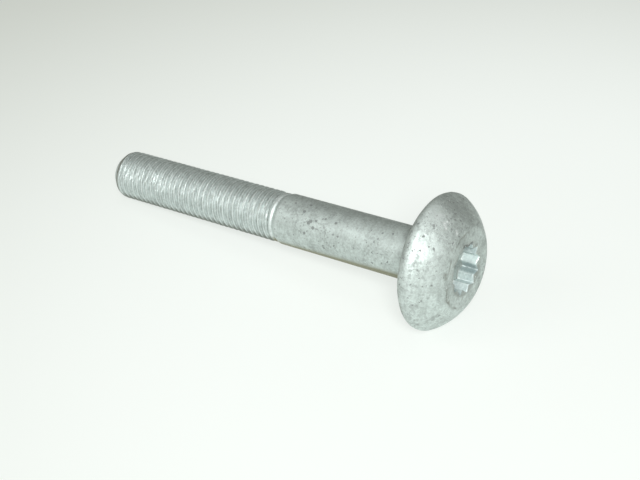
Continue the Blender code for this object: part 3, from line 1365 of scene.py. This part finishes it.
def bolt_marks() -> list[Mark]:
    """The marks that this bolt carries.

    Returns:
        Clusters of specks, single pits, scratches and one painted highlight, painted shade in a
        crease, painted shadow at the socket's mouth, and patches of painted light and shade.
    """
    pit_and_shadow = partial(Mark, layer=Layer.PITS_AND_SHADOW)
    scratch_and_sheen = partial(Mark, layer=Layer.WEAR_AND_HIGHLIGHT)
    crease = partial(Mark, layer=Layer.HOLLOW)
    shade = partial(Mark, layer=Layer.PAINTED_LIGHT_AND_SHADE)
    specks_on_head = [
        Mark(5.5, -155, 0.9, 4.5, 13.0),
        Mark(5.5, 172, 1.1, 4.0, 13.0),
        Mark(6.3, -100, 0.7, 1.1, 12.2),
        Mark(3.7, -82, 0.6, 1.0, 14.5),
        Mark(7.5, -33, 0.7, 0.8, 10.7),
    ]
    specks_on_shank = [
        Mark(-28.5, -135, 0.5, 5.0),
        Mark(-33.0, -158, 0.6, 2.5),
        Mark(-22.8, -100, 0.7, 2.5),
        Mark(-12.0, -128, 0.6, 2.0),
    ]
    specks_on_rim = [Mark(1.3, -127, 0.9, 2.5, 15.1), Mark(1.8, -100, 0.8, 2.5, 15.1)]
    pits_on_head = [
        pit_and_shadow(4.5, -156, 1.2, 0.33, 13.9),
        pit_and_shadow(5.9, -164, 1.0, 0.30, 12.7),
        pit_and_shadow(7.0, -166, 0.7, 0.35, 11.4),
        pit_and_shadow(6.0, -137, 0.9, 0.33, 12.5),
        pit_and_shadow(5.2, -137, 0.8, 0.28, 13.3),
        pit_and_shadow(6.9, -100, 0.6, 0.35, 11.5),
        pit_and_shadow(6.1, -101, 0.5, 0.45, 12.5),
        pit_and_shadow(3.8, -82, 0.6, 0.40, 14.4),
        pit_and_shadow(3.8, -120, 0.5, 0.40, 14.4),
        pit_and_shadow(2.1, -108, 0.5, 0.50, 15.3),
    ]
    pits_on_shank = [
        pit_and_shadow(-34.5, -167, 0.7, 0.42),
        pit_and_shadow(-30.7, -172, 0.7, 0.54),
        pit_and_shadow(-29.0, -169, 0.6, 0.42),
        pit_and_shadow(-31.1, -152, 0.8, 0.48),
        pit_and_shadow(-37.6, -142, 0.7, 0.36),
        pit_and_shadow(-28.4, -135, 0.9, 0.40),
        pit_and_shadow(-27.2, -138, 0.7, 0.40),
        pit_and_shadow(-29.0, -130, 1.1, 0.40),
        pit_and_shadow(-27.4, -122, 1.1, 0.40),
        pit_and_shadow(-29.5, -106, 0.9, 0.42),
        pit_and_shadow(-37.6, -96, 0.7, 0.36),
        pit_and_shadow(-22.2, -146, 0.9, 0.40),
        pit_and_shadow(-21.9, -120, 0.7, 0.40),
        pit_and_shadow(-24.2, -84, 0.7, 0.40),
        pit_and_shadow(-21.1, -92, 0.6, 0.40),
        pit_and_shadow(-8.0, -157, 0.7, 0.36),
        pit_and_shadow(-11.5, -129, 0.7, 0.40),
        pit_and_shadow(-10.8, -137, 0.6, 0.36),
        pit_and_shadow(-11.5, -82, 0.6, 0.40),
    ]
    # painted shadow along the socket's mouth and in its top corner
    painted_shadow_at_mouth = [pit_and_shadow(8.4, angle, 0.6, 0.28, 5.4) for angle in range(-168, -104, 6)]
    for angle in range(151, 187, 5):
        painted_shadow_at_mouth.append(pit_and_shadow(8.4, angle, 1.2, 0.35, 5.0 + 0.045 * abs(165 - angle)))
    painted_shadow_at_mouth += [pit_and_shadow(8.2, 149, 1.5, 0.45, 5.55), pit_and_shadow(8.2, 121, 0.7, 0.30, 5.6)]
    scratches = [
        scratch_and_sheen(5.7, -164.5, 4.0, 0.24, 12.9),
        scratch_and_sheen(6.0, -162.5, 4.0, 0.24, 12.5),
        scratch_and_sheen(6.3, -161.0, 4.0, 0.24, 12.2),
        scratch_and_sheen(5.9, -168.0, 3.5, 0.24, 12.7),
        scratch_and_sheen(6.3, -168.0, 3.0, 0.24, 12.3),
        scratch_and_sheen(7.6, -169.0, 4.0, 0.24, 10.5),
        scratch_and_sheen(7.9, -167.0, 4.0, 0.24, 10.1),
        # painted highlight: a broad patch that widens the dome's highlight, not a scratch
        scratch_and_sheen(4.1, -167.0, 0.55, 2.2, 14.1),
    ]
    # painted shade along the crease in the flat
    painted_shade_in_crease = [
        crease(8.4, -145, 0.8, 0.40, 9.2),
        crease(8.5, -112, 1.5, 0.45, 9.0),
        crease(8.5, -106, 1.2, 0.40, 8.7),
        crease(8.5, -86, 1.2, 0.35, 7.9),
        crease(8.5, -72, 0.8, 0.35, 8.1),
        crease(8.5, -64, 1.2, 0.35, 8.4),
    ]
    # painted light and shade on the socket's facets
    painted_light_and_shade_in_socket = [
        shade(6.3, 112, -0.25, 0.8, 5.2, stretch=3.0),
        shade(6.3, 81, 0.5, 0.8, 5.2, stretch=3.0),
        shade(6.3, 59, -1.0, 1.0, 5.4, stretch=3.0),
        shade(6.3, 37, 0.15, 0.8, 5.2, stretch=3.0),
        shade(6.3, 8, 0.1, 0.8, 5.2, stretch=3.0),
        shade(8.0, -31, -0.6, 0.7, 5.3),
        shade(8.0, -61, -0.6, 0.7, 5.3),
    ]
    # painted highlight beside the dome's highlight, painted shade on its top, edges and flat
    painted_light_and_shade_on_head = [
        shade(3.7, -167, 0.9, 2.8, 14.5),
        shade(7.3, 160, -0.35, 4.0, 10.9),
        shade(4.2, 174, -0.7, 3.0, 14.0),
        *painted_light_and_shade_in_socket,
        shade(8.3, -165, -0.5, 2.2, 8.0),
        shade(8.4, -95, -0.25, 3.0, 8.0),
        shade(6.5, 50, -0.3, 3.0, 11.5),
        shade(6.2, -140, 0.5, 2.4, 12.3),
        shade(8.5, 106, -0.5, 1.2, 7.1),
    ]
    # painted shade on the shank's top and bottom, painted highlight along its middle
    painted_light_and_shade_on_shank = [
        shade(-19.0, 178, -0.40, 2.2, stretch=7.0),
        shade(-19.0, -142, 0.22, 2.4, stretch=6.0),
        shade(-19.0, -76, -0.25, 2.8, stretch=6.0),
    ]
    marks = specks_on_head + specks_on_shank + specks_on_rim + pits_on_head + pits_on_shank
    return marks + painted_shadow_at_mouth + scratches + painted_shade_in_crease + painted_light_and_shade_on_head + painted_light_and_shade_on_shank


@dataclass
class ControlArmBolt:
    """The whole bolt: its sub-assemblies, its finish and where it lies."""

    name: str = "coated_bolt"
    seat: Place = (39.7664, 0.0, 14.9856)
    rise: float = math.radians(6.098143)
    phase: float = math.radians(29)
    sharp_angle: float = math.radians(42)

    def __post_init__(self) -> None:
        """Make the sub-assemblies, and the uneven ground of each zone."""
        self.thread = RolledThread()
        self.shank = Shank()
        self.head = MushroomHead()
        self.socket = DriveSocket()
        self.reliefs = {
            Zone.THREAD.value: Relief(0.012, 3.0, 0.030, 0.8),
            Zone.SHANK.value: Relief(0.014, 4.0, 0.012, 1.2),
            Zone.HEAD.value: Relief(0.035, 4.5, 0.024, 1.3),
            Zone.SOCKET.value: Relief(0.010, 2.5, 0.010, 0.9),
        }

    def roughen(self, skin: Skin) -> None:
        """Move each corner along its normal by the relief of the quietest zone that it touches.

        Args:
            skin: The true skin.
        """
        skin.bm.normal_update()
        moves = []
        for vertex in skin.bm.verts:
            zones = {face.material_index for face in vertex.link_faces}
            heights = [self.reliefs[zone].height_at(vertex.co) for zone in zones]
            moves.append(vertex.normal * min(heights, key=abs))
        for vertex, move in zip(skin.bm.verts, moves):
            vertex.co += move

    def settle(self, skin: Skin) -> None:
        """Lay the skin down, with every corner inside the CAD model's box.

        Args:
            skin: The skin in the bolt's own axes.
        """
        turn = Matrix.Rotation(-self.rise, 4, "Y")
        lie = Matrix.Translation(Vector(self.seat) * MM) @ turn
        low, high = CAD_BOX
        for vertex in skin.bm.verts:
            spot = lie @ (vertex.co * MM)
            vertex.co = [min(max(value, least), most) for value, least, most in zip(spot, low, high)]

    def build(self) -> bpy.types.Object:
        """Build the whole skin as one object.

        Returns:
            The bolt, lying where the CAD model lies.
        """
        skin = Skin(self.phase)
        ring = self.thread.build(skin)
        ring = self.shank.build(skin, ring)
        ring = self.head.build(skin, ring)
        self.socket.build(skin, ring)
        bmesh.ops.recalc_face_normals(skin.bm, faces=skin.bm.faces)
        skin.paint(bolt_marks())
        self.roughen(skin)
        self.settle(skin)
        mesh = bpy.data.meshes.new(self.name)
        skin.bm.to_mesh(mesh)
        skin.bm.free()
        mesh.shade_smooth()
        mesh.set_sharp_from_angle(angle=self.sharp_angle)
        bolt = bpy.data.objects.new(self.name, mesh)
        bpy.context.scene.collection.objects.link(bolt)
        return bolt

    def dress(self, bolt: bpy.types.Object, effects: CoatingEffects) -> None:
        """Give each zone its coating, in the order of the zones.

        Args:
            bolt: The built bolt.
            effects: The shared node groups.
        """
        coats = (
            ZincFlakeCoat(
                "zinc_flake_thread",
                pale=(0.59, 0.67, 0.655),
                deep=(0.38, 0.435, 0.42),
                polished=(0.72, 0.79, 0.78),
                underside_shade_colour=(0.17, 0.185, 0.16),
                metallic=0.65,
                roughness=0.50,
                patch_contrast=1.0,
                speck_level=0.74,
                smudge_level=0.68,
                dot_coverage=0.01,
                wear_amount=0.95,
                underside_shade_amount=0.85,
                streak_amount=1.0,
                lumps=1.5,
                bump_height=0.09,
            ),
            ZincFlakeCoat(
                "zinc_flake_shank",
                pale=(0.605, 0.69, 0.665),
                metallic=0.56,
                patch_contrast=1.05,
                speck_level=0.66,
                dot_coverage=0.05,
                scratch_amount=0.2,
                wear_amount=0.8,
                underside_shade_amount=1.0,
            ),
            ZincFlakeCoat(
                "zinc_flake_head",
                polished=(0.82, 0.88, 0.87),
                patch_contrast=1.1,
                dot_coverage=0.02,
                scratch_amount=0.5,
                wear_amount=0.55,
                underside_shade_amount=0.15,
                streak_amount=0.35,
            ),
            # paler copy of the coating in the socket: painted light that stands in for light bounced
            # inside it
            ZincFlakeCoat(
                "zinc_flake_socket",
                pale=(0.78, 0.90, 0.885),
                deep=(0.27, 0.35, 0.355),
                polished=(0.88, 0.96, 0.95),
                metallic=0.2,
                roughness=0.42,
                patch_contrast=0.6,
                speck_level=0.80,
                smudge_level=0.72,
                dot_coverage=0.0,
                wear_amount=0.7,
                hollow_shade_amount=0.3,
            ),
        )
        for coat in coats:
            bolt.data.materials.append(coat.build(effects))


@dataclass(frozen=True)
class SoftLamp:
    """A soft studio lamp, aimed at the bolt, with angles in degrees and lengths in metres."""

    name: str
    azimuth: float
    elevation: float
    distance: float
    size: tuple[float, float]
    level: float

    def build(self, target: Vector) -> bpy.types.Object:
        """Hang the lamp.

        Args:
            target: The point that it faces.

        Returns:
            The lamp. A white surface that faces it is lit to its level.
        """
        light = bpy.data.lights.new(self.name, "AREA")
        light.shape = "ELLIPSE"
        light.size, light.size_y = self.size
        light.energy = self.level * (math.pi * self.distance) ** 2
        lamp = bpy.data.objects.new(self.name, light)
        turn = math.radians(self.azimuth)
        climb = math.radians(self.elevation)
        level = math.cos(climb)
        away = Vector((level * math.cos(turn), level * math.sin(turn), math.sin(climb)))
        lamp.location = target + away * self.distance
        lamp.rotation_mode = "QUATERNION"
        lamp.rotation_quaternion = away.to_track_quat("Z", "Y")
        bpy.context.scene.collection.objects.link(lamp)
        return lamp


@dataclass(frozen=True)
class Studio:
    """Pale floor, soft lamps and the camera at the photograph's place.

    The floor's colour carries a painted pool of light: it is at its palest round the middle of
    the painted light and dims out to its dim reach. Lengths here are in metres.
    """

    floor_size: float = 8.0
    floor_segments: int = 8
    floor_colour: Colour = (0.935, 0.98, 0.945)
    dim_floor_colour: Colour = (0.60, 0.63, 0.575)
    painted_light_middle: Place = (0.09, 0.015, 0.0)
    bright_reach: float = 0.08
    dim_reach: float = 0.31
    floor_glow: float = 0.74
    floor_roughness: float = 0.9
    floor_specular: float = 0.2
    sky: Colour = (0.155, 0.153, 0.130)
    lamp_target: Place = (0.01, 0.0, 0.012)
    lamps: tuple[SoftLamp, ...] = (
        SoftLamp("lamp_front", -53.0, 38.5, distance=0.6, size=(0.17, 0.20), level=1.0),
        SoftLamp("lamp_left", -125.0, 40.0, distance=0.9, size=(0.45, 0.45), level=0.20),
        SoftLamp("lamp_over", 0.0, 90.0, distance=0.9, size=(0.5, 0.5), level=0.08),
    )
    camera_place: Place = (0.14589, -0.19379, 0.17260)
    camera_heading: float = 124.929
    camera_drop: float = 34.775
    camera_range: tuple[float, float] = (0.01, 50.0)
    focal_pixels: float = 1260.6
    image_width: float = 640.0
    sensor_width: float = 36.0

    def floor_material(self) -> bpy.types.Material:
        """Make the floor's pale finish, with a painted pool of light that dims slowly away from the
        bolt.

        Returns:
            The material. The camera and reflections see it paler than light leaves it.
        """
        material = bpy.data.materials.new("pale_floor")
        material.use_nodes = True
        bench = NodeBench(material.node_tree)
        shader = material.node_tree.nodes["Principled BSDF"]
        place = bench.add("ShaderNodeTexCoord").outputs["Object"]
        away = bench.vector("DISTANCE", place, self.painted_light_middle).outputs["Value"]
        # painted pool of light, fading out away from its middle
        dimmed = bench.fade(away, self.bright_reach, self.dim_reach)
        colour = bench.blend(dimmed, self.floor_colour, self.dim_floor_colour)
        bench.feed(shader.inputs["Base Color"], colour)
        shader.inputs["Roughness"].default_value = self.floor_roughness
        shader.inputs["Specular IOR Level"].default_value = self.floor_specular
        glow = bench.add("ShaderNodeEmission", {"Color": colour, "Strength": 1.0})
        rays = bench.add("ShaderNodeLightPath").outputs
        seen = bench.larger(rays["Is Camera Ray"], rays["Is Glossy Ray"])
        share = bench.times(bench.larger(seen, rays["Is Transmission Ray"]), self.floor_glow)
        surfaces = {0: share, 1: shader.outputs[0], 2: glow.outputs[0]}
        mixed = bench.add("ShaderNodeMixShader", surfaces).outputs[0]
        bench.feed(material.node_tree.nodes["Material Output"].inputs["Surface"], mixed)
        return material

    def build_floor(self) -> bpy.types.Object:
        """Lay the floor.

        Returns:
            The floor.
        """
        bm = bmesh.new()
        count = self.floor_segments
        bmesh.ops.create_grid(bm, x_segments=count, y_segments=count, size=self.floor_size / 2)
        mesh = bpy.data.meshes.new("studio_floor")
        bm.to_mesh(mesh)
        bm.free()
        mesh.materials.append(self.floor_material())
        floor = bpy.data.objects.new("studio_floor", mesh)
        bpy.context.scene.collection.objects.link(floor)
        return floor

    def build_sky(self) -> None:
        """Light the room evenly from all round."""
        world = bpy.data.worlds.new("studio_sky")
        world.use_nodes = True
        background = world.node_tree.nodes["Background"]
        background.inputs["Color"].default_value = (*self.sky, 1.0)
        background.inputs["Strength"].default_value = 1.0
        bpy.context.scene.world = world

    def build_camera(self) -> bpy.types.Object:
        """Set the camera where the photograph was taken from.

        Returns:
            The scene's camera.
        """
        data = bpy.data.cameras.new("photo_camera")
        data.sensor_width = self.sensor_width
        data.lens = self.focal_pixels / self.image_width * data.sensor_width
        data.clip_start, data.clip_end = self.camera_range
        camera = bpy.data.objects.new("photo_camera", data)
        camera.location = self.camera_place
        tilt = math.radians(90 - self.camera_drop)
        camera.rotation_euler = (tilt, 0.0, math.radians(self.camera_heading - 90))
        bpy.context.scene.collection.objects.link(camera)
        bpy.context.scene.camera = camera
        return camera

    def build(self) -> None:
        """Build the floor, the sky, the lamps and the camera, and set the plain view."""
        self.build_floor()
        self.build_sky()
        for lamp in self.lamps:
            lamp.build(Vector(self.lamp_target))
        self.build_camera()
        bpy.context.scene.view_settings.view_transform = "Standard"


def main() -> None:
    """Build the bolt and the studio around it."""
    logging.basicConfig(level=logging.INFO, format="%(name)s: %(message)s")
    effects = CoatingEffects()
    assembly = ControlArmBolt()
    bolt = assembly.build()
    assembly.dress(bolt, effects)
    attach(bolt, "root")
    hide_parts("control_arm_bolt")
    faces = len(bolt.data.polygons)
    LOG.info("%s: %d faces, %d finishes", bolt.name, faces, len(bolt.data.materials))
    Studio().build()
    LOG.info("studio ready")


if __name__ == "__main__":
    main()
